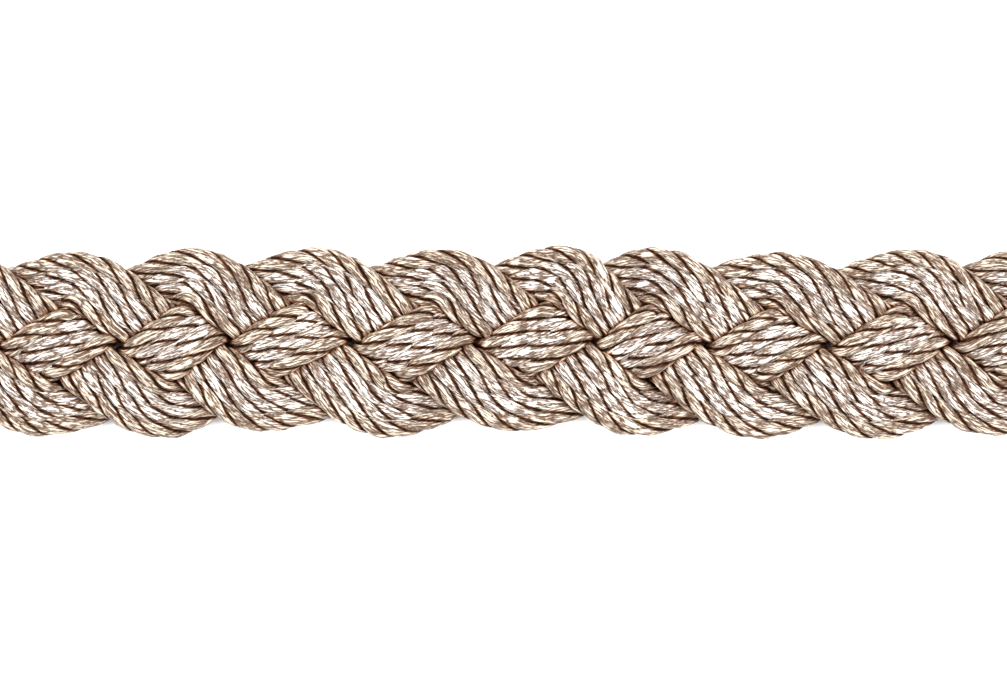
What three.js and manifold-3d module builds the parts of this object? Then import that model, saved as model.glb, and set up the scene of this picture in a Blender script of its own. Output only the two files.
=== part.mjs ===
// A cut length of flat braided cord trim, lying face up on a surface.
// Four strands are braided over and under one another in three columns, with a row of
// slanting eyes down the middle. Each strand is four three-ply cords laid side by side.
// Millimetres, +X along the trim, +Y across it, +Z up. The origin is under the trim's middle.

import * as THREE from "three";
import Module from "manifold-3d";
import { mergeVertices } from "three/addons/utils/BufferGeometryUtils.js";

const wasm = await Module();
wasm.setup();

// Driving sizes of the trim.
const TRIM_LENGTH = 90;
const CREST_PITCH = 10; // from one crest of an edge to the next, and from each strand to the next
const FIRST_CREST_X = 3.9; // where strand a turns at the top edge
const STRAND_NAMES = ["strand_a", "strand_b", "strand_c", "strand_d"];
const STRAND_PERIOD = CREST_PITCH * STRAND_NAMES.length; // over to the other edge and back

// Sizes across a strand.
const CORDS_PER_STRAND = 4;
const STRAND_THICKNESS = 1.24; // at the middle cords
const EDGE_THINNING = 0.84; // share of the thickness that a strand loses towards its sides
const GROOVE_DEPTH = 0.2; // between one cord and the next
const SHOULDER = 0.25; // from a cord's middle to each line of its crown, in cord widths
const OUTER_SHOULDER = 0.42; // the same, on the outer side of a strand's side cords

// Sizes through the trim.
const RISE = 1.27; // a strand's middle above the trim's mid-plane where it passes over
const CROSSING_SQUARENESS = 1.3; // how soon a strand dips between one crossing and the next
const FLATTENING = 0.35; // how far the lowest crowns are pressed flat by the surface below

// The twist of a cord: three plies, laid up to the right like the middle stroke of a Z.
const PLIES = 3;
const CORD_LAY = 7.2; // length of one whole turn of the plies
const PLY_RELIEF = 0.078; // how far a ply stands proud of its cord's mean crown
const PLY_START = -Math.PI / 2; // where in its turn a cord begins
const SECTIONS_PER_LAY = 6;

// Slants of the strands' cross lines, in degrees. Each lies along the strands that it crosses.
const FALLING = 31;
const TURNING = 88;
const RISING = 144;

// One strand's way, a row for each crossing and each turn. x runs along the trim from the
// top turn and y across it. crossing counts the crossings: an even whole number is over,
// an odd one under, and a half a turn at the edge. width is measured along the cross line.
const ROUTE = [
  { place: "top turn", x: 0, y: 5.75, crossing: -0.5, slant: TURNING, width: 4.7 },
  { place: "over, top column", x: 4, y: 3.25, crossing: 0, slant: FALLING, width: 4.9 },
  { place: "under, centre column", x: 8.5, y: 0, crossing: 1, slant: FALLING, width: 4 },
  { place: "over, bottom column", x: 13, y: -3.3, crossing: 2, slant: FALLING, width: 4.9 },
  { place: "bottom turn", x: 17.2, y: -5.6, crossing: 2.5, slant: TURNING, width: 4.7 },
  { place: "under, bottom column", x: 23, y: -3.3, crossing: 3, slant: RISING, width: 4.1 },
  { place: "over, centre column", x: 28.5, y: 0, crossing: 4, slant: RISING, width: 4.35 },
  { place: "under, top column", x: 34, y: 3.25, crossing: 5, slant: RISING, width: 4.1 },
];
const CROSSINGS_PER_PERIOD = 6;

// How finely the route is measured, and how many sweeps settle its smooth curve.
const SAMPLES_PER_ROW = 24;
const SETTLING_SWEEPS = 40;

// A smooth closed curve through one column of the route. A column that grows by a fixed
// amount each period is curved without that growth, which is added back as it is read.
function smoothColumn(column, growth = 0) {
  const rows = ROUTE.length;
  const values = ROUTE.map((row, i) => row[column] - (growth * i) / rows);
  const at = (list, i) => list[((i % rows) + rows) % rows];
  let knots = values.slice();
  for (let sweep = 0; sweep < SETTLING_SWEEPS; sweep += 1) {
    knots = values.map((value, i) => (6 * value - at(knots, i - 1) - at(knots, i + 1)) / 4);
  }
  return (t) => {
    const i = Math.floor(t);
    const f = t - i;
    const g = 1 - f;
    const sum =
      g ** 3 * at(knots, i - 1) +
      (3 * f ** 3 - 6 * f ** 2 + 4) * at(knots, i) +
      (3 * g ** 3 - 6 * g ** 2 + 4) * at(knots, i + 1) +
      f ** 3 * at(knots, i + 2);
    return sum / 6 + (growth * t) / rows;
  };
}

const routeX = smoothColumn("x", STRAND_PERIOD);
const routeY = smoothColumn("y");
const routeCrossing = smoothColumn("crossing", CROSSINGS_PER_PERIOD);
const routeSlant = smoothColumn("slant");
const routeWidth = smoothColumn("width");

// Height of a strand's middle above the trim's mid-plane.
function routeHeight(t) {
  const wave = Math.cos(Math.PI * routeCrossing(t));
  return (RISE * Math.tanh(CROSSING_SQUARENESS * wave)) / Math.tanh(CROSSING_SQUARENESS);
}

const MID_HEIGHT = RISE + STRAND_THICKNESS / 2 + PLY_RELIEF - FLATTENING;

function routePoint(t, shift) {
  return new THREE.Vector3(routeX(t) + shift, routeY(t), routeHeight(t) + MID_HEIGHT);
}

// The places of a strand's sections: even steps of length along its middle line, from just
// before the trim's start to just after its end.
function sectionPlaces(shift) {
  const overrun = CREST_PITCH;
  const reach = TRIM_LENGTH / 2 + overrun;
  const dt = 1 / SAMPLES_PER_ROW;
  const step = CORD_LAY / SECTIONS_PER_LAY;
  const cycle = ROUTE.length / STRAND_PERIOD;
  const first = (-reach - shift) * cycle;
  const last = (reach - shift) * cycle;
  const places = [first];
  let travelled = 0;
  let here = routePoint(first, shift);
  for (let t = first + dt; t < last; t += dt) {
    const next = routePoint(t, shift);
    const leg = next.distanceTo(here);
    while (travelled + leg >= step * places.length) {
      places.push(t - dt * (1 - (step * places.length - travelled) / leg));
    }
    travelled += leg;
    here = next;
  }
  const inside = (t) => Math.abs(routeX(t) + shift) < TRIM_LENGTH / 2 + CREST_PITCH / 3;
  return places.filter(inside);
}

// The outline of a strand's section, from its top middle round by the right. across is in
// strand widths to the left, side is 1 on top and -1 below, and turn is the angle round the
// cord that the point is on, or null in a groove between two cords.
function sectionOutline() {
  const top = [];
  const cordWidth = 1 / CORDS_PER_STRAND;
  for (let cord = 0; cord < CORDS_PER_STRAND; cord += 1) {
    const middle = 0.5 - (cord + 0.5) * cordWidth;
    const left = cord === 0 ? OUTER_SHOULDER : SHOULDER;
    const right = cord === CORDS_PER_STRAND - 1 ? OUTER_SHOULDER : SHOULDER;
    if (cord > 0) {
      top.push({ across: middle + cordWidth / 2, side: 1, turn: null });
    }
    top.push({ across: middle + left * cordWidth, side: 1, turn: Math.asin(2 * SHOULDER) });
    top.push({ across: middle - right * cordWidth, side: 1, turn: -Math.asin(2 * SHOULDER) });
  }
  const below = top.map((point) => ({
    across: point.across,
    side: -1,
    turn: point.turn === null ? null : Math.PI - point.turn,
  }));
  const outline = [...top, ...below.reverse()];
  const start = (top.length - 1) / 2;
  return [...outline.slice(start), ...outline.slice(0, start)];
}

const OUTLINE = sectionOutline();

// Half the thickness of a strand at one point of its outline, travelled mm along the strand.
function halfThickness(point, travelled) {
  const body = (STRAND_THICKNESS / 2) * (1 - EDGE_THINNING * (2 * point.across) ** 2);
  if (point.turn === null) {
    return body - GROOVE_DEPTH;
  }
  const turned = point.turn + (2 * Math.PI * travelled) / CORD_LAY;
  return body + PLY_RELIEF * Math.cos(PLIES * turned + PLY_START);
}

// One strand as a closed tube: a capped cylinder whose rings become the strand's sections.
function strandGeometry(shift) {
  const places = sectionPlaces(shift);
  const steps = places.length - 1;
  const geometry = new THREE.CylinderGeometry(1, 1, 1, OUTLINE.length, steps);
  const points = geometry.getAttribute("position");
  const frames = places.map((t, index) => {
    const middle = routePoint(t, shift);
    const ahead = routePoint(t + 1 / SAMPLES_PER_ROW, shift).sub(middle).normalize();
    const slant = THREE.MathUtils.degToRad(routeSlant(t));
    const left = new THREE.Vector3(Math.cos(slant), Math.sin(slant), 0);
    const up = new THREE.Vector3().crossVectors(ahead, left).normalize();
    const travelled = (index * CORD_LAY) / SECTIONS_PER_LAY;
    return { middle, left, up, width: routeWidth(t), travelled };
  });
  for (let i = 0; i < points.count; i += 1) {
    const corner = new THREE.Vector3().fromBufferAttribute(points, i);
    const frame = frames[Math.round((corner.y + 0.5) * steps)];
    const place = frame.middle.clone();
    if (Math.hypot(corner.x, corner.z) > 0.5) {
      const turn = Math.atan2(corner.x, corner.z) / (2 * Math.PI);
      const column = Math.round(turn * OUTLINE.length + OUTLINE.length) % OUTLINE.length;
      const point = OUTLINE[column];
      place.addScaledVector(frame.left, point.across * frame.width);
      place.addScaledVector(frame.up, point.side * halfThickness(point, frame.travelled));
    }
    points.setXYZ(i, place.x, place.y, Math.max(place.z, 0));
  }
  return geometry;
}

// A closed geometry as a solid that can be cut, and back.
function solidOf(geometry) {
  geometry.deleteAttribute("normal");
  geometry.deleteAttribute("uv");
  const merged = mergeVertices(geometry);
  return new wasm.Manifold(
    new wasm.Mesh({
      numProp: 3,
      vertProperties: new Float32Array(merged.getAttribute("position").array),
      triVerts: new Uint32Array(merged.getIndex().array),
    }),
  );
}

function geometryOf(solid) {
  const mesh = solid.getMesh();
  const geometry = new THREE.BufferGeometry();
  geometry.setAttribute("position", new THREE.BufferAttribute(mesh.vertProperties, 3));
  geometry.setIndex(new THREE.BufferAttribute(mesh.triVerts, 1));
  geometry.computeVertexNormals();
  return geometry;
}

// What the cut keeps: the trim's length, with its two ends cut square.
function keptLength() {
  const amply = 4 * STRAND_PERIOD;
  return solidOf(new THREE.BoxGeometry(TRIM_LENGTH, amply, amply));
}

const trim = new THREE.Group();
trim.name = "twisted_cord_trim";
const kept = keptLength();
STRAND_NAMES.forEach((name, index) => {
  const shift = FIRST_CREST_X + index * CREST_PITCH;
  const cut = solidOf(strandGeometry(shift)).intersect(kept);
  const material = new THREE.MeshStandardMaterial({
    color: 0xa79383,
    roughness: 0.5,
    metalness: 0,
  });
  const strand = new THREE.Mesh(geometryOf(cut), material);
  strand.name = name;
  trim.add(strand);
});

export default trim;
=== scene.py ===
"""Looks of a cut length of flat braided trim: four strands, each of four three-ply cords.

The trim lies face up on a surface. +X runs along it, +Y across it and +Z up out of its
face, in metres. Every cord is its own piece: its line is worked out from the strand's
route, settled against its neighbours, and laid up from three plies by Geometry Nodes.
"""

import logging
import math
from dataclasses import dataclass, field
from enum import Enum

import bmesh
import bpy
import numpy as np
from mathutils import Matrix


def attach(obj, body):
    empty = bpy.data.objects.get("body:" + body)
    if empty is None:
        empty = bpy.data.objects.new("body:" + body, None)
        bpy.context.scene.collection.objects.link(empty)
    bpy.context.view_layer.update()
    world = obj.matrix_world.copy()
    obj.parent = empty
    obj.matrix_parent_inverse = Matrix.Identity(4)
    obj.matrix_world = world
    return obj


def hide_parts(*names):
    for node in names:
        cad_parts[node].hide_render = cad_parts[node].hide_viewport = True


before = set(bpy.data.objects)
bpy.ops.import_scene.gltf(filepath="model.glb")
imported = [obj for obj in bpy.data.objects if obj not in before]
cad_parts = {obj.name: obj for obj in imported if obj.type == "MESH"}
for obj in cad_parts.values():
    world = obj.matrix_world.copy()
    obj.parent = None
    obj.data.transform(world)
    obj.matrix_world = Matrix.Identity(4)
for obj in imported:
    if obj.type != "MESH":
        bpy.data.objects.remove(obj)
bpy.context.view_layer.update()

MM = 0.001
BODY = "root"

CREST_PITCH = 10.0  # millimetres from one crest of an edge to the next
NOISE_MIDDLE = 0.5  # the mean of a noise texture's value

LOG = logging.getLogger("trim")

Colour = tuple[float, float, float]


class Bench:
    """Adds nodes to one tree, of a shape or of a material."""

    def __init__(self, tree: bpy.types.NodeTree) -> None:
        """Take the tree that the nodes go into."""
        self.tree = tree

    def node(self, kind: str, **settings: str) -> bpy.types.Node:
        """Add a node.

        Args:
            kind: The node's type.
            settings: The node's own settings.

        Returns:
            The node.
        """
        made = self.tree.nodes.new(kind)
        for name, value in settings.items():
            setattr(made, name, value)
        return made

    def feed(self, slot: bpy.types.NodeSocket, value: object) -> None:
        """Link another node's socket to a slot, or set the slot to a plain value.

        Args:
            slot: The slot.
            value: The socket or the value.
        """
        if isinstance(value, bpy.types.NodeSocket):
            self.tree.links.new(value, slot)
        else:
            slot.default_value = value

    def math(self, kind: str, *values: object) -> bpy.types.NodeSocket:
        """Add a maths node.

        Args:
            kind: What it works out.
            values: Its sockets or plain values, in order.

        Returns:
            The socket with the result.
        """
        made = self.node("ShaderNodeMath", operation=kind)
        for slot, value in zip(made.inputs, values):
            self.feed(slot, value)
        return made.outputs[0]

    def vector(self, kind: str, *values: object) -> bpy.types.Node:
        """Add a vector maths node.

        Args:
            kind: What it works out.
            values: Its sockets or plain values, in order.

        Returns:
            The node, whose first output is the result.
        """
        made = self.node("ShaderNodeVectorMath", operation=kind)
        for slot, value in zip(made.inputs, values):
            self.feed(slot, value)
        return made

    def spread(
        self,
        value: bpy.types.NodeSocket,
        source: tuple[float, float] = (0, 1),
        target: tuple[float, float] = (0, 1),
        course: str = "LINEAR",
    ) -> bpy.types.NodeSocket:
        """Map one range of a value on another, and hold it there past the ends.

        Args:
            value: The value's socket.
            source: The two ends that the value comes from.
            target: The two ends that it goes to.
            course: How it runs from end to end.

        Returns:
            The socket with the mapped value.
        """
        made = self.node("ShaderNodeMapRange", interpolation_type=course)
        ends = zip(("From Min", "From Max", "To Min", "To Max"), (*source, *target))
        for name, end in ends:
            self.feed(made.inputs[name], end)
        self.feed(made.inputs["Value"], value)
        return made.outputs["Result"]

    def noise(
        self, place: bpy.types.NodeSocket, detail: float, axes: str = "3D"
    ) -> bpy.types.Node:
        """Add a noise texture, one swell to each unit of its place.

        Args:
            place: The socket with the place that it reads.
            detail: How many finer layers it has.
            axes: Whether the place is one number, 1D, or a vector, 3D.

        Returns:
            The node.
        """
        made = self.node("ShaderNodeTexNoise", noise_dimensions=axes)
        self.feed(made.inputs["Scale"], 1)
        self.feed(made.inputs["Detail"], detail)
        self.feed(made.inputs["W" if axes == "1D" else "Vector"], place)
        return made


class MaterialBench(Bench):
    """A bench for a material's tree.

    A Mix node has sockets of one name for each kind of value, so the ones for numbers
    and for colours are known here by their places.
    """

    NUMBERS = (2, 3)
    COLOURS = (6, 7)
    MIXED_COLOUR = 2

    def attribute(self, name: str, output: str) -> bpy.types.NodeSocket:
        """Read one of the piece's attributes, as a number or as a vector.

        Args:
            name: The attribute's name.
            output: Fac for a number, Vector for a vector.

        Returns:
            The socket with the attribute's value.
        """
        made = self.node("ShaderNodeAttribute", attribute_name=name)
        return made.outputs[output]

    def mixed(
        self, first: bpy.types.NodeSocket, second: bpy.types.NodeSocket, share: float
    ) -> bpy.types.NodeSocket:
        """Mix two numbers.

        Args:
            first: The first number's socket.
            second: The second number's socket.
            share: The second number's share.

        Returns:
            The socket with the mixed number.
        """
        made = self.node("ShaderNodeMix")
        self.feed(made.inputs["Factor"], share)
        for place, value in zip(self.NUMBERS, (first, second)):
            self.feed(made.inputs[place], value)
        return made.outputs[0]

    def multiplied(
        self, first: bpy.types.NodeSocket, second: bpy.types.NodeSocket
    ) -> bpy.types.NodeSocket:
        """Multiply two colours.

        Args:
            first: The first colour's socket.
            second: The second colour's socket.

        Returns:
            The socket with the product.
        """
        made = self.node("ShaderNodeMix", data_type="RGBA", blend_type="MULTIPLY")
        self.feed(made.inputs[0], 1)
        for place, value in zip(self.COLOURS, (first, second)):
            self.feed(made.inputs[place], value)
        return made.outputs[self.MIXED_COLOUR]

    def ramp(
        self, value: bpy.types.NodeSocket, stops: tuple[tuple[float, Colour], ...]
    ) -> bpy.types.NodeSocket:
        """Colour a value by a ramp.

        Args:
            value: The value's socket.
            stops: The place and the colour of each stop, in order.

        Returns:
            The socket with the colour.
        """
        made = self.node("ShaderNodeValToRGB")
        marks = made.color_ramp.elements
        while len(marks) < len(stops):
            marks.new(1)
        for mark, (place, colour) in zip(marks, stops):
            mark.position = place
            mark.color = (*colour, 1)
        self.feed(made.inputs["Fac"], value)
        return made.outputs["Color"]


class ShapeBench(Bench):
    """A bench for a Geometry Nodes tree with named inputs."""

    def __init__(self, name: str, kinds: dict[str, str]) -> None:
        """Start the tree.

        Args:
            name: The tree's name.
            kinds: The kind of each named input, besides the geometry and the material.
        """
        super().__init__(bpy.data.node_groups.new(name, "GeometryNodeTree"))
        for title, kind in {"Geometry": "Geometry", **kinds, "Material": "Material"}.items():
            self._open(title, kind, "INPUT")
        self._open("Geometry", "Geometry", "OUTPUT")
        self.source = self.node("NodeGroupInput").outputs
        self.sink = self.node("NodeGroupOutput").inputs

    def _open(self, title: str, kind: str, way: str) -> None:
        """Add a socket to the tree's own inputs or outputs."""
        self.tree.interface.new_socket(title, in_out=way, socket_type=f"NodeSocket{kind}")

    def store(
        self,
        shape: bpy.types.NodeSocket,
        name: str,
        value: bpy.types.NodeSocket,
        kind: str = "FLOAT",
    ) -> bpy.types.NodeSocket:
        """Store a value on the points.

        Args:
            shape: The socket with the geometry.
            name: The attribute's name.
            value: The value's socket.
            kind: The attribute's type.

        Returns:
            The socket with the geometry.
        """
        made = self.node("GeometryNodeStoreNamedAttribute", data_type=kind)
        self.feed(made.inputs["Name"], name)
        self.feed(made.inputs["Geometry"], shape)
        self.feed(made.inputs["Value"], value)
        return made.outputs["Geometry"]

    def read(self, name: str, kind: str = "FLOAT") -> bpy.types.NodeSocket:
        """Read a stored value.

        Args:
            name: The attribute's name.
            kind: The attribute's type.

        Returns:
            The socket with the value.
        """
        made = self.node("GeometryNodeInputNamedAttribute", data_type=kind)
        self.feed(made.inputs["Name"], name)
        return made.outputs["Attribute"]

    def end(self, shape: bpy.types.NodeSocket) -> bpy.types.NodeTree:
        """End the tree with real geometry in the material that it is given.

        Args:
            shape: The socket with the geometry.

        Returns:
            The tree.
        """
        real = self.node("GeometryNodeRealizeInstances")
        self.feed(real.inputs["Geometry"], shape)
        dressed = self.node("GeometryNodeSetMaterial")
        self.feed(dressed.inputs["Geometry"], real.outputs["Geometry"])
        self.feed(dressed.inputs["Material"], self.source["Material"])
        self.feed(self.sink["Geometry"], dressed.outputs["Geometry"])
        return self.tree


class Tone(Enum):
    """The trim's yarn in two tones: tan at a strand's sides, and pale in its middle, where a
    lighter copy of the yarn paints the sheen on the middle cords, which stand highest.
    """

    TAN = "tan"
    PALE = "pale"


@dataclass(frozen=True)
class Station:
    """One crossing or turn of a strand's route.

    x and y are millimetres from the top turn and from the trim's middle line. crossing
    counts the crossings, even over and odd under. slant is the direction in degrees of
    the line across the strand, and spacing is the distance between its cords on it. tilt
    is how much higher each cord lies than the next one to its right.
    """

    x: float
    y: float
    crossing: float
    slant: float
    spacing: float
    tilt: float = 0.0


FALLING = 31.0
TURNING = 88.0
RISING = 144.0

TOP_TURN = Station(0, 5.25, -0.5, TURNING, 1.16, 0.24)
OVER_TOP = Station(4, 3.2, 0, FALLING, 1.44)
UNDER_CENTRE = Station(8.5, 0, 1, FALLING, 1.34)
OVER_BOTTOM = Station(13, -3.25, 2, FALLING, 1.44)
BOTTOM_TURN = Station(17.2, -5.15, 2.5, TURNING, 1.16, -0.24)
UNDER_BOTTOM = Station(23, -3.3, 3, RISING, 1.24)
OVER_CENTRE = Station(28.5, 0, 4, RISING, 1.42)
UNDER_TOP = Station(34, 3.25, 5, RISING, 1.24)


@dataclass
class BraidRoute:
    """The line that each cord of a strand follows before it is settled.

    All four strands follow one route, each a crest further along the trim. Sizes are
    in millimetres.
    """

    crest_pitch: float = CREST_PITCH
    first_crest: float = 3.9
    strands: int = 4
    cords: int = 4
    crossings: int = 6
    rise: float = 0.92
    squareness: float = 1.3
    arch: float = 0.3
    stations: tuple[Station, ...] = (
        TOP_TURN,
        OVER_TOP,
        UNDER_CENTRE,
        OVER_BOTTOM,
        BOTTOM_TURN,
        UNDER_BOTTOM,
        OVER_CENTRE,
        UNDER_TOP,
    )
    settling_sweeps: int = 40

    @property
    def period(self) -> float:
        """Length of trim in which a strand crosses it and comes back."""
        return self.crest_pitch * self.strands

    def _smooth(self, name: str, t: np.ndarray, growth: float = 0.0) -> np.ndarray:
        """Read one column of the stations as a smooth closed curve.

        Args:
            name: The column's name.
            t: Places on the route, a whole number at each station.
            growth: How much the column grows in one period.

        Returns:
            The column's value at each place.
        """
        rows = len(self.stations)
        steady = growth * np.arange(rows) / rows
        values = np.array([getattr(s, name) for s in self.stations]) - steady
        knots = values.copy()
        for _ in range(self.settling_sweeps):
            knots = (6 * values - np.roll(knots, 1) - np.roll(knots, -1)) / 4
        i = np.floor(t).astype(int)
        f = t - i
        g = 1 - f
        total = (
            g**3 * knots[(i - 1) % rows]
            + (3 * f**3 - 6 * f**2 + 4) * knots[i % rows]
            + (3 * g**3 - 6 * g**2 + 4) * knots[(i + 1) % rows]
            + f**3 * knots[(i + 2) % rows]
        )
        return total / 6 + growth * t / rows

    def level(self, t: np.ndarray) -> np.ndarray:
        """How far over, 1, or under, -1, the strand is at each place."""
        wave = np.cos(np.pi * self._smooth("crossing", t, self.crossings))
        return np.tanh(self.squareness * wave) / math.tanh(self.squareness)

    def cord_line(self, cord: int, t: np.ndarray) -> np.ndarray:
        """Work out one cord's unsettled line.

        Args:
            cord: The cord's number in its strand, from 0 at the left.
            t: Places on the route.

        Returns:
            Points in millimetres, z from the trim's mid-plane, an array of rows.
        """
        steps_left = (self.cords - 1) / 2 - cord
        away = steps_left * self._smooth("spacing", t)
        slant = np.radians(self._smooth("slant", t))
        side = (2 * steps_left / (self.cords - 1)) ** 2
        height = self.level(t) * (self.rise - self.arch * side)
        height += steps_left * self._smooth("tilt", t)
        return np.stack(
            [
                self._smooth("x", t, self.period) + away * np.cos(slant),
                self._smooth("y", t) + away * np.sin(slant),
                height,
            ],
            axis=1,
        )


@dataclass
class SettledBraid:
    """The cords of one period, pushed apart where two lie closer than the gap.

    The strands are alike, so one strand's cords are settled among copies of themselves.
    Sizes are in millimetres, and reach is how many copies lie to each side.
    """

    route: BraidRoute
    samples: int = 80
    reach: int = 5
    gap: float = 1.3
    rounds: int = 120
    push: float = 0.09
    longest_push: float = 0.05
    least_distance: float = 1e-9
    return_share: float = 0.03
    smoothing: tuple[float, ...] = (1, 2, 3, 2, 1)
    shift: np.ndarray = field(init=False)

    def __post_init__(self) -> None:
        """Settle the cords as the braid is made."""
        self.shift = self._settle()

    @property
    def places(self) -> np.ndarray:
        """The places of one period's samples on the route."""
        return np.arange(self.samples) * len(self.route.stations) / self.samples

    def _settle(self) -> np.ndarray:
        """Push touching cords apart, round by round.

        Returns:
            How far each sample of each cord moved, in millimetres.
        """
        lines = [self.route.cord_line(c, self.places) for c in range(self.route.cords)]
        start = np.stack(lines)
        now = start.copy()
        count = self.route.cords * self.samples
        owner = np.repeat(np.arange(self.route.cords), self.samples)
        weights = np.array(self.smoothing) / sum(self.smoothing)
        half = len(weights) // 2
        for _ in range(self.rounds):
            flat = now.reshape(count, 3)
            force = np.zeros((count, 3))
            for copy in range(-self.reach, self.reach + 1):
                other = flat + [copy * self.route.crest_pitch, 0, 0]
                between = flat[:, None, :] - other[None, :, :]
                apart = np.sqrt((between**2).sum(axis=2)) + self.least_distance
                touching = apart < self.gap
                if copy % self.route.strands == 0:
                    touching &= owner[:, None] != owner[None, :]
                strength = np.where(touching, (self.gap - apart) / apart, 0.0)
                force += (strength[:, :, None] * between).sum(axis=1)
            force = force.reshape(now.shape)
            soft = sum(
                w * np.roll(force, k - half, axis=1) for k, w in enumerate(weights)
            )
            now = now + np.clip(self.push * soft, -self.longest_push, self.longest_push)
            now += self.return_share * (start - now)
        return now - start

    def line(self, strand: int, cord: int, reach: float) -> np.ndarray:
        """One cord's settled line over the trim's length and a little more.

        Args:
            strand: The strand's number.
            cord: The cord's number in its strand.
            reach: How far to each side of the trim's middle the line runs, in mm.

        Returns:
            Points in millimetres, z from the trim's mid-plane.
        """
        start = self.route.first_crest + strand * self.route.crest_pitch
        per_mm = self.samples / self.route.period
        first = math.floor((-reach - start) * per_mm)
        last = math.ceil((reach - start) * per_mm)
        index = np.arange(first, last + 1)
        t = index * len(self.route.stations) / self.samples
        points = self.route.cord_line(cord, t) + self.shift[cord, index % self.samples]
        points[:, 0] += start
        return points


@dataclass(frozen=True)
class PaintedShade:
    """Painted shade: how a yarn's colour darkens where it lies deep, where shade falls.

    deepest and half_deep multiply the yarn's colour, and half_way says where between the
    deepest place, 0, and the open, 1, half_deep holds.
    """

    deepest: Colour
    half_deep: Colour
    half_way: float
    in_open: Colour = (1, 1, 1)

    @property
    def stops(self) -> tuple[tuple[float, Colour], ...]:
        """The places and colours of the shade, from the deepest to the open."""
        return ((0, self.deepest), (self.half_way, self.half_deep), (1, self.in_open))


# Painted shade: darkens the yarn deep in its ply grooves and in crevices under other cords.
GROOVE_PAINTED_SHADE = PaintedShade(
    deepest=(0.05, 0.013, 0.004),
    half_deep=(0.52, 0.39, 0.31),
    half_way=0.42,
)
CREVICE_PAINTED_SHADE = PaintedShade(
    deepest=(0.12, 0.034, 0.012),
    half_deep=(0.66, 0.46, 0.34),
    half_way=0.45,
)


@dataclass(frozen=True)
class YarnFinish:
    """A lustrous yarn: its colours, filaments and shine.

    The filaments run from dark in the gaps between them through middle to light, and
    stops says where on a streak each of the three colours holds. The streaks are partly
    the yarn's own uneven tone and partly painted light: painted shade in the gaps and a
    painted sheen on the light streaks. fine_filaments and bundles are streaks to each
    millimetre round the cord. groove and crevice are painted shade, deep in the ply
    grooves and in crevices under other cords.
    """

    tone: Tone
    light: Colour
    middle: Colour
    dark: Colour
    stops: tuple[float, float, float] = (0.28, 0.55, 0.8)
    # Painted shade in the ply grooves and in the crevices under other cords.
    groove: PaintedShade = GROOVE_PAINTED_SHADE
    crevice: PaintedShade = CREVICE_PAINTED_SHADE
    roughness: float = 0.3
    deep_roughness: float = 1.0
    shine_tint: Colour = (1.0, 0.8, 0.62)
    specular: float = 0.07
    fine_filaments: float = 4.2
    bundles: float = 3.0
    stretch: float = 0.16
    layers: float = 3
    raggedness: float = 0.62
    gap_width: float = 0.1
    bundle_share: float = 0.3
    bump_height: float = 0.14 * MM

    def material(self) -> bpy.types.Material:
        """Build the yarn's material.

        Returns:
            A material that reads the cord's own attributes.
        """
        made = bpy.data.materials.new(f"yarn_{self.tone.value}")
        made.use_nodes = True
        bench = MaterialBench(made.node_tree)
        shader = made.node_tree.nodes["Principled BSDF"].inputs
        shader["Specular IOR Level"].default_value = self.specular
        shader["Specular Tint"].default_value = (*self.shine_tint, 1)
        filaments = self._filaments(bench)
        shelter = bench.attribute("shelter", "Fac")
        groove = bench.attribute("groove", "Fac")
        # Filament streaks: the yarn's own uneven tone, with painted shade in the filament gaps
        # and painted sheen on the light streaks.
        tints = zip(self.stops, (self.dark, self.middle, self.light))
        colour = bench.ramp(filaments, tuple(tints))
        # Painted shade: the colour is darkened in crevices under other cords and in ply grooves.
        colour = bench.multiplied(colour, bench.ramp(shelter, self.crevice.stops))
        colour = bench.multiplied(colour, bench.ramp(groove, self.groove.stops))
        bench.feed(shader["Base Color"], colour)
        open_part = bench.math("MULTIPLY", shelter, groove)
        gloss = bench.spread(open_part, target=(self.deep_roughness, self.roughness))
        bench.feed(shader["Roughness"], gloss)
        bump = bench.node("ShaderNodeBump")
        bench.feed(bump.inputs["Distance"], self.bump_height)
        bench.feed(bump.inputs["Height"], filaments)
        bench.feed(shader["Normal"], bump.outputs["Normal"])
        return made

    def _filaments(self, bench: MaterialBench) -> bpy.types.NodeSocket:
        """Add the streaks of single filaments and of bundles of them.

        Args:
            bench: The bench of the material's tree.

        Returns:
            The socket with the streaks' value, low in the gaps between filaments.
        """
        fine = self._streaks(bench, self.fine_filaments)
        from_gap = bench.math("ABSOLUTE", bench.math("SUBTRACT", fine, NOISE_MIDDLE))
        single = bench.spread(from_gap, source=(0, self.gap_width))
        return bench.mixed(single, self._streaks(bench, self.bundles), self.bundle_share)

    def _streaks(self, bench: MaterialBench, scale: float) -> bpy.types.NodeSocket:
        """Add streaks that run along the filaments.

        Args:
            bench: The bench of the material's tree.
            scale: How many streaks lie in each millimetre round the cord.

        Returns:
            The socket with the streaks' value.
        """
        stretched = bench.node("ShaderNodeMapping")
        bench.feed(stretched.inputs["Scale"], (scale, scale, scale * self.stretch))
        bench.feed(stretched.inputs["Vector"], bench.attribute("yarn_place", "Vector"))
        noise = bench.noise(stretched.outputs["Vector"], self.layers)
        bench.feed(noise.inputs["Roughness"], self.raggedness)
        return noise.outputs["Fac"]


# Each yarn's light stop carries painted sheen, and its dark stop painted shade in the filament
# gaps.
YARNS = (
    YarnFinish(
        Tone.TAN,
        light=(0.54, 0.465, 0.38),
        middle=(0.28, 0.215, 0.167),
        dark=(0.1, 0.055, 0.036),
    ),
    # A lighter copy of the yarn for the middle cords: painted sheen where they stand highest.
    YarnFinish(
        Tone.PALE,
        light=(0.72, 0.675, 0.63),
        middle=(0.345, 0.285, 0.242),
        dark=(0.115, 0.068, 0.048),
    ),
)


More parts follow.
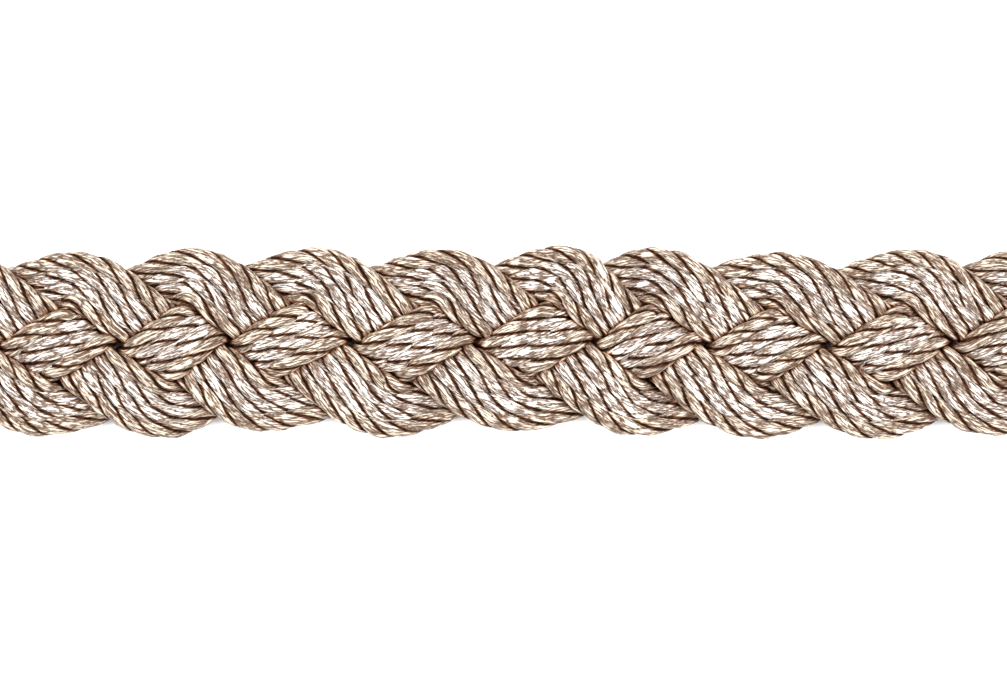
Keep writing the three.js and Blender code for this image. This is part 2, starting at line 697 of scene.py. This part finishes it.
def apply_tree(
    piece: bpy.types.Object, tree: bpy.types.NodeTree, values: dict[str, object]
) -> None:
    """Run a Geometry Nodes tree on a piece and keep its result as a plain mesh.

    Args:
        piece: The piece.
        tree: The tree.
        values: A value for each of the tree's named inputs.
    """
    modifier = piece.modifiers.new(tree.name, "NODES")
    modifier.node_group = tree
    for socket in tree.interface.items_tree:
        if socket.in_out == "INPUT" and socket.name in values:
            modifier[socket.identifier] = values[socket.name]
    shape = piece.evaluated_get(bpy.context.evaluated_depsgraph_get())
    mesh = bpy.data.meshes.new_from_object(shape)
    piece.modifiers.remove(modifier)
    piece.data = mesh
    mesh.name = piece.name


@dataclass
class CordMaker:
    """Lays up three plies along a line with Geometry Nodes.

    The painted shade in a ply groove starts to lift at the first of the groove shade's
    shares of a ply's crown and is gone at the second. lumps is how many swells of the
    cord's uneven thickness lie in each millimetre. turn_drift is in radians, and
    drift_spacing sets the drift of one cord apart from another's by where their turns
    start.
    """

    diameter: float = 1.6 * MM
    plies: int = 3
    lay: float = 6.9 * MM
    ring_points: int = 36
    most_corners: int = 4
    step: float = 0.2 * MM
    groove_depth: float = 0.34
    groove_power: float = 0.55
    painted_groove_shade: tuple[float, float] = (0.2, 0.5)
    filament_lay: float = 18 * MM
    unevenness: float = 0.26
    lumps: float = 2.2
    lump_stretch: float = 4
    lump_layers: float = 2
    turn_drift: float = 2.0
    drift_length: float = 9 * MM
    drift_spacing: float = 10
    tree: bpy.types.NodeTree = field(init=False)

    def __post_init__(self) -> None:
        """Build the node tree once, for every cord."""
        self.tree = self._build_tree()

    def _build_tree(self) -> bpy.types.NodeTree:
        """Build the tree that turns a line into a cord of laid-up plies.

        Returns:
            The Geometry Nodes tree.
        """
        sizes = dict.fromkeys(("Diameter", "Lay", "Start Turn", "Groove Depth", "Step"), "Float")
        counts = dict.fromkeys(("Ring Points", "Plies"), "Int")
        bench = ShapeBench("laid_cord", sizes | counts)
        sweep = bench.node("GeometryNodeCurveToMesh")
        bench.feed(sweep.inputs["Curve"], self._turned_line(bench))
        bench.feed(sweep.inputs["Profile Curve"], self._plies_across(bench))
        bench.feed(sweep.inputs["Fill Caps"], True)
        shape = self._with_yarn_place(bench, sweep.outputs["Mesh"])
        smooth = bench.node("GeometryNodeSetShadeSmooth")
        bench.feed(smooth.inputs["Geometry"], self._swollen(bench, shape))
        return bench.end(smooth.outputs["Geometry"])

    def _turned_line(self, bench: ShapeBench) -> bpy.types.NodeSocket:
        """Turn the line about itself by the cord's lay, with a slow drift.

        Args:
            bench: The bench of the cord's tree.

        Returns:
            The socket with the turned line.
        """
        line = bench.node("GeometryNodeMeshToCurve")
        bench.feed(line.inputs["Mesh"], bench.source["Geometry"])
        even = bench.node("GeometryNodeResampleCurve", mode="LENGTH")
        bench.feed(even.inputs["Curve"], line.outputs["Curve"])
        bench.feed(even.inputs["Length"], bench.source["Step"])
        upright = bench.node("GeometryNodeSetCurveNormal", mode="Z_UP")
        bench.feed(upright.inputs["Curve"], even.outputs["Curve"])
        along = bench.node("GeometryNodeSplineParameter").outputs["Length"]
        start = bench.source["Start Turn"]
        angle = bench.math("MULTIPLY", bench.math("DIVIDE", along, bench.source["Lay"]), math.tau)
        own_place = bench.math("MULTIPLY", start, self.drift_spacing)
        place = bench.math("ADD", bench.math("DIVIDE", along, self.drift_length), own_place)
        drift = bench.noise(place, 0, axes="1D").outputs["Fac"]
        drift = bench.math("SUBTRACT", drift, NOISE_MIDDLE)
        drift = bench.math("MULTIPLY", drift, self.turn_drift)
        turn = bench.math("ADD", bench.math("ADD", angle, start), drift)
        shape = bench.store(upright.outputs["Curve"], "along", along)
        shape = bench.store(shape, "turn", turn)
        tilt = bench.node("GeometryNodeSetCurveTilt")
        bench.feed(tilt.inputs["Curve"], shape)
        bench.feed(tilt.inputs["Tilt"], turn)
        return tilt.outputs["Curve"]

    def _plies_across(self, bench: ShapeBench) -> bpy.types.NodeSocket:
        """Draw the cord's section, a ring drawn in between its plies.

        Args:
            bench: The bench of the cord's tree.

        Returns:
            The socket with the section.
        """
        ring = bench.node("GeometryNodeCurvePrimitiveCircle", mode="RADIUS")
        bench.feed(ring.inputs["Resolution"], bench.source["Ring Points"])
        bench.feed(ring.inputs["Radius"], bench.math("DIVIDE", bench.source["Diameter"], 2))
        index = bench.node("GeometryNodeInputIndex").outputs["Index"]
        share = bench.math("DIVIDE", index, bench.source["Ring Points"])
        around = bench.math("MULTIPLY", share, math.tau)
        waves = bench.math("MULTIPLY", around, bench.source["Plies"])
        crown = bench.math("ABSOLUTE", bench.math("SINE", bench.math("DIVIDE", waves, 2)))
        sunk = bench.math("SUBTRACT", 1, bench.math("POWER", crown, self.groove_power))
        sunk = bench.math("MULTIPLY", sunk, bench.source["Groove Depth"])
        # Openness away from a ply groove, stored as groove: it sets the painted groove shade and
        # the roughness.
        open_part = bench.spread(crown, source=self.painted_groove_shade, course="SMOOTHSTEP")
        section = bench.store(ring.outputs["Curve"], "around", around)
        section = bench.store(section, "groove", open_part)
        place = bench.node("GeometryNodeInputPosition").outputs["Position"]
        scaled = bench.vector("SCALE", place)
        bench.feed(scaled.inputs["Scale"], bench.math("SUBTRACT", 1, sunk))
        lobes = bench.node("GeometryNodeSetPosition")
        bench.feed(lobes.inputs["Geometry"], section)
        bench.feed(lobes.inputs["Position"], scaled.outputs[0])
        return lobes.outputs["Geometry"]

    def _with_yarn_place(
        self, bench: ShapeBench, shape: bpy.types.NodeSocket
    ) -> bpy.types.NodeSocket:
        """Store each point's place, in millimetres, on a straight cord with unwound filaments.

        Args:
            bench: The bench of the cord's tree.
            shape: The socket with the swept cord.

        Returns:
            The socket with the cord.
        """
        along = bench.read("along")
        turned = bench.math("ADD", bench.read("around"), bench.read("turn"))
        spiral = bench.math("MULTIPLY", along, -math.tau / self.filament_lay)
        unwound = bench.math("ADD", turned, spiral)
        radius = self.diameter / 2 / MM
        place = bench.node("ShaderNodeCombineXYZ")
        for slot, course in zip(place.inputs, ("COSINE", "SINE")):
            bench.feed(slot, bench.math("MULTIPLY", bench.math(course, unwound), radius))
        bench.feed(place.inputs["Z"], bench.math("DIVIDE", along, MM))
        return bench.store(shape, "yarn_place", place.outputs[0], "FLOAT_VECTOR")

    def _swollen(
        self, bench: ShapeBench, shape: bpy.types.NodeSocket
    ) -> bpy.types.NodeSocket:
        """Make the cord's thickness uneven.

        Args:
            bench: The bench of the cord's tree.
            shape: The socket with the even cord.

        Returns:
            The socket with the uneven cord.
        """
        scale = (self.lumps, self.lumps, self.lumps / self.lump_stretch)
        place = bench.vector("MULTIPLY", bench.read("yarn_place", "FLOAT_VECTOR"), scale)
        noise = bench.noise(place.outputs[0], self.lump_layers).outputs["Fac"]
        swell = bench.math("SUBTRACT", noise, NOISE_MIDDLE)
        swell = bench.math("MULTIPLY", swell, bench.source["Diameter"])
        outwards = bench.node("GeometryNodeInputNormal").outputs["Normal"]
        moved = bench.vector("SCALE", outwards)
        bench.feed(moved.inputs["Scale"], bench.math("MULTIPLY", swell, self.unevenness))
        uneven = bench.node("GeometryNodeSetPosition")
        bench.feed(uneven.inputs["Geometry"], shape)
        bench.feed(uneven.inputs["Offset"], moved.outputs[0])
        return uneven.outputs["Geometry"]

    def make(
        self,
        name: str,
        line: np.ndarray,
        start_turn: float,
        half_length: float,
        finish: bpy.types.Material,
    ) -> bpy.types.Object:
        """Make one cord, cut square at the trim's two ends.

        Args:
            name: The piece's name.
            line: The cord's line in metres, running past both ends of the trim.
            start_turn: Where in its turn the cord begins.
            half_length: Half the trim's length in metres.
            finish: The cord's material.

        Returns:
            The cord, a plain mesh with its place in its mesh.
        """
        wire = bpy.data.meshes.new(name)
        edges = [(i, i + 1) for i in range(len(line) - 1)]
        wire.from_pydata([tuple(p) for p in line], edges, [])
        piece = bpy.data.objects.new(name, wire)
        bpy.context.collection.objects.link(piece)
        values = {
            "Diameter": self.diameter,
            "Lay": self.lay,
            "Start Turn": start_turn,
            "Groove Depth": self.groove_depth,
            "Step": self.step,
            "Ring Points": self.ring_points,
            "Plies": self.plies,
            "Material": finish,
        }
        apply_tree(piece, self.tree, values)
        self._cut_ends(piece.data, half_length)
        self._press_flat(piece.data)
        return piece

    def _press_flat(self, mesh: bpy.types.Mesh) -> None:
        """Press flat what would lie below the surface that the trim rests on."""
        for point in mesh.vertices:
            point.co.z = max(point.co.z, 0.0)

    def _cut_ends(self, mesh: bpy.types.Mesh, half_length: float) -> None:
        """Cut a cord square at both ends of the trim and close the cuts.

        Args:
            mesh: The cord's mesh.
            half_length: Half the trim's length in metres.
        """
        work = bmesh.new()
        work.from_mesh(mesh)
        for side in (-1, 1):
            cut = bmesh.ops.bisect_plane(
                work,
                geom=work.verts[:] + work.edges[:] + work.faces[:],
                plane_co=(side * half_length, 0, 0),
                plane_no=(side, 0, 0),
                clear_outer=True,
            )
            rim = [e for e in cut["geom_cut"] if isinstance(e, bmesh.types.BMEdge)]
            bmesh.ops.edgenet_fill(work, edges=rim)
        many = [f for f in work.faces if len(f.verts) > self.most_corners]
        bmesh.ops.triangulate(work, faces=many)
        bmesh.ops.recalc_face_normals(work, faces=work.faces[:])
        work.to_mesh(mesh)
        work.free()


@dataclass
class Shelter:
    """Marks where each cord lies open and where others stand close over it.

    Rays leave each point about its normal. open_share is the share of them that gets
    away where a crevice is deepest and where the cord counts as open. The mark drives
    the painted crevice shade in the yarn's colour, and its roughness.
    """

    rays: int = 20
    reach: float = 2.4 * MM
    lift: float = 0.02 * MM
    spread: float = 0.85
    blurring: int = 2
    open_share: tuple[float, float] = (0.2, 0.78)
    tree: bpy.types.NodeTree = field(init=False)

    def __post_init__(self) -> None:
        """Build the node tree once, for every cord."""
        self.tree = self._build_tree()

    def _directions(self) -> list[tuple[float, float, float]]:
        """Spread the rays evenly over a sphere.

        Returns:
            One unit direction for each ray.
        """
        golden = math.pi * (3 - math.sqrt(5))
        found = []
        for i in range(self.rays):
            z = 1 - (2 * i + 1) / self.rays
            ring = math.sqrt(1 - z * z)
            found.append((ring * math.cos(golden * i), ring * math.sin(golden * i), z))
        return found

    def _build_tree(self) -> bpy.types.NodeTree:
        """Build the tree that counts the rays that get away from each point.

        Returns:
            The Geometry Nodes tree.
        """
        bench = ShapeBench("cord_shelter", {"Neighbours": "Object"})
        others = bench.node("GeometryNodeObjectInfo")
        bench.feed(others.inputs["Object"], bench.source["Neighbours"])
        place = bench.node("GeometryNodeInputPosition").outputs["Position"]
        normal = bench.node("GeometryNodeInputNormal").outputs["Normal"]
        lifted = bench.vector("MULTIPLY_ADD", normal, (self.lift,) * 3, place)
        total = 0.0
        for direction in self._directions():
            aside = tuple(self.spread * value for value in direction)
            aim = bench.vector("ADD", normal, aside)
            ray = bench.node("GeometryNodeRaycast")
            bench.feed(ray.inputs["Ray Length"], self.reach)
            bench.feed(ray.inputs["Target Geometry"], others.outputs["Geometry"])
            bench.feed(ray.inputs["Source Position"], lifted.outputs[0])
            bench.feed(ray.inputs["Ray Direction"], aim.outputs[0])
            away = bench.math("SUBTRACT", 1, ray.outputs["Is Hit"])
            total = bench.math("ADD", total, away)
        soft = bench.node("GeometryNodeBlurAttribute")
        bench.feed(soft.inputs["Iterations"], self.blurring)
        bench.feed(soft.inputs["Value"], bench.math("DIVIDE", total, self.rays))
        open_part = bench.spread(
            soft.outputs["Value"], source=self.open_share, course="SMOOTHSTEP"
        )
        return bench.end(bench.store(bench.source["Geometry"], "shelter", open_part))

    def mark(
        self, pieces: list[bpy.types.Object], others: list[bpy.types.Object]
    ) -> None:
        """Store on each of a strand's cords how open each of its points lies.

        Args:
            pieces: The strand's cords.
            others: The cords of the other strands.
        """
        work = bmesh.new()
        for other in others:
            work.from_mesh(other.data)
        mesh = bpy.data.meshes.new("neighbours")
        work.to_mesh(mesh)
        work.free()
        neighbours = bpy.data.objects.new("neighbours", mesh)
        bpy.context.collection.objects.link(neighbours)
        for piece in pieces:
            values = {"Neighbours": neighbours, "Material": piece.data.materials[0]}
            apply_tree(piece, self.tree, values)
        bpy.data.objects.remove(neighbours)
        bpy.data.meshes.remove(mesh)


@dataclass(frozen=True)
class Unevenness:
    """How far each crest of one edge stands from its even place, in millimetres.

    first is where the first of these crests would evenly stand along the trim.
    """

    first: float
    along: tuple[float, ...]
    across: tuple[float, ...]


TOP_UNEVENNESS = Unevenness(
    first=-36.1,
    along=(0.2, 0.0, 0.4, 1.0, 0.8, -1.5, -1.1, 0.1),
    across=(-0.35, 0.0, 0.0, -0.1, 0.2, 0.05, -0.3, -0.1),
)
BOTTOM_UNEVENNESS = Unevenness(
    first=-38.9,
    along=(0.6, 0.6, -1.3, -0.6, 0.0, 0.4, 0.3, 0.2),
    across=(0.0, -0.15, 0.4, -0.15, 0.4, 0.0, -0.2, -0.3),
)


@dataclass
class Trim:
    """The whole trim: four strands of four cords.

    mid_height, overrun and width are in millimetres.
    """

    half_length: float = 45 * MM
    mid_height: float = 1.78
    overrun: float = 3.0
    seed: int = 7
    names: tuple[str, ...] = ("strand_a", "strand_b", "strand_c", "strand_d")
    width: float = 16.0
    top: Unevenness = TOP_UNEVENNESS
    bottom: Unevenness = BOTTOM_UNEVENNESS

    def _swayed(self, line: np.ndarray) -> np.ndarray:
        """Shift a line by the braid's unevenness, which is the same for all that lies there.

        Args:
            line: Points in millimetres.

        Returns:
            The shifted points.
        """
        moved = line.copy()
        upper = np.clip(0.5 + line[:, 1] / self.width, 0, 1)
        for uneven, share in ((self.top, upper), (self.bottom, 1 - upper)):
            crests = np.arange(len(uneven.along))
            away = (line[:, :1] - uneven.first) / CREST_PITCH - crests
            near = np.where(np.abs(away) < 1, np.cos(away * math.pi / 2) ** 2, 0.0)
            moved[:, 0] += share * (near @ np.array(uneven.along))
            moved[:, 1] += share * (near @ np.array(uneven.across))
        return moved

    def build(self) -> list[bpy.types.Object]:
        """Build every cord, dress it and fix it to the trim's body.

        Returns:
            The cords.
        """
        braid = SettledBraid(BraidRoute())
        maker = CordMaker()
        finishes = {finish.tone: finish.material() for finish in YARNS}
        draw = np.random.default_rng(self.seed)
        laid = []
        for strand, node in enumerate(self.names):
            for cord in range(braid.route.cords):
                reach = self.half_length / MM + self.overrun
                line = self._swayed(braid.line(strand, cord, reach))
                line[:, 2] += self.mid_height
                line *= MM
                # Middle cords take the pale copy of the yarn, painted sheen where they stand
                # highest.
                side = cord in (0, braid.route.cords - 1)
                finish = finishes[Tone.TAN if side else Tone.PALE]
                turn = draw.uniform(0, math.tau)
                name = f"{node}_cord_{cord + 1}"
                piece = maker.make(name, line, turn, self.half_length, finish)
                laid.append((piece, node, line))
        pieces = [piece for piece, _, _ in laid]
        LOG.info("cords laid up")
        shelter = Shelter()
        for node in self.names:
            own = [piece for piece, home, _ in laid if home == node]
            shelter.mark(own, [piece for piece in pieces if piece not in own])
        LOG.info("crevices marked")
        for piece, node, line in laid:
            self._fix(piece, node)
        return pieces

    def _fix(
        self,
        piece: bpy.types.Object,
        node: str,
    ) -> None:
        """Args:
            piece: The cord.
            node: The strand's node.
        """
        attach(piece, BODY)
        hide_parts(node)


@dataclass(frozen=True)
class Lamp:
    """A square soft lamp, which faces the middle of the trim, in metres and watts."""

    name: str
    place: tuple[float, float, float]
    power: float


@dataclass
class Studio:
    """A pale floor, soft light and the camera that looks straight down."""

    view_width: float = 83.9 * MM
    aim_y: float = -0.46 * MM
    aim_z: float = 3.0 * MM
    lens: float = 120.0
    sensor: float = 36.0
    nearest: float = 0.01
    farthest: float = 20.0
    floor_size: float = 3.0
    floor_drop: float = 0.02 * MM
    floor_shade: Colour = (0.95, 0.95, 0.95)
    floor_roughness: float = 0.9
    lamps: tuple[Lamp, ...] = (
        Lamp("softbox_right", (0.3, 0.08, 0.42), 6.0),
        Lamp("softbox_left", (-0.3, 0.05, 0.42), 4.9),
    )
    lamp_size: float = 0.4
    world_shade: Colour = (1, 1, 1)
    world_strength: float = 0.62

    def camera(self) -> None:
        """Stand the camera over the trim, as far off as its long lens asks."""
        data = bpy.data.cameras.new("camera")
        data.lens = self.lens
        data.sensor_width = self.sensor
        data.clip_start = self.nearest
        data.clip_end = self.farthest
        body = bpy.data.objects.new("camera", data)
        distance = self.view_width * self.lens / self.sensor
        body.location = (0, self.aim_y, self.aim_z + distance)
        bpy.context.collection.objects.link(body)
        bpy.context.scene.camera = body

    def floor(self) -> None:
        """Lay a plain pale floor."""
        half = self.floor_size / 2
        z = -self.floor_drop
        mesh = bpy.data.meshes.new("floor")
        corners = [(-half, -half, z), (half, -half, z), (half, half, z), (-half, half, z)]
        mesh.from_pydata(corners, [], [(0, 1, 2, 3)])
        slab = bpy.data.objects.new("floor", mesh)
        bpy.context.collection.objects.link(slab)
        paint = bpy.data.materials.new("floor")
        paint.use_nodes = True
        shader = paint.node_tree.nodes["Principled BSDF"].inputs
        shader["Base Color"].default_value = (*self.floor_shade, 1)
        shader["Roughness"].default_value = self.floor_roughness
        mesh.materials.append(paint)

    def light(self) -> None:
        """Stand a soft lamp at each end of the trim and light the room evenly."""
        for lamp in self.lamps:
            data = bpy.data.lights.new(lamp.name, "AREA")
            data.size = self.lamp_size
            data.energy = lamp.power
            body = bpy.data.objects.new(lamp.name, data)
            x, y, z = lamp.place
            body.location = lamp.place
            body.rotation_euler = (0, math.atan2(math.hypot(x, y), z), math.atan2(y, x))
            bpy.context.collection.objects.link(body)
        world = bpy.data.worlds.new("room")
        world.use_nodes = True
        back = world.node_tree.nodes["Background"].inputs
        back["Color"].default_value = (*self.world_shade, 1)
        back["Strength"].default_value = self.world_strength
        bpy.context.scene.world = world
        bpy.context.scene.view_settings.view_transform = "Standard"


def main() -> None:
    """Build the trim on its floor, under its lights and camera."""
    logging.basicConfig(level=logging.INFO, format="%(asctime)s %(message)s")
    studio = Studio()
    studio.camera()
    pieces = Trim().build()
    studio.floor()
    studio.light()
    LOG.info("%d cords", len(pieces))


if __name__ == "__main__":
    main()
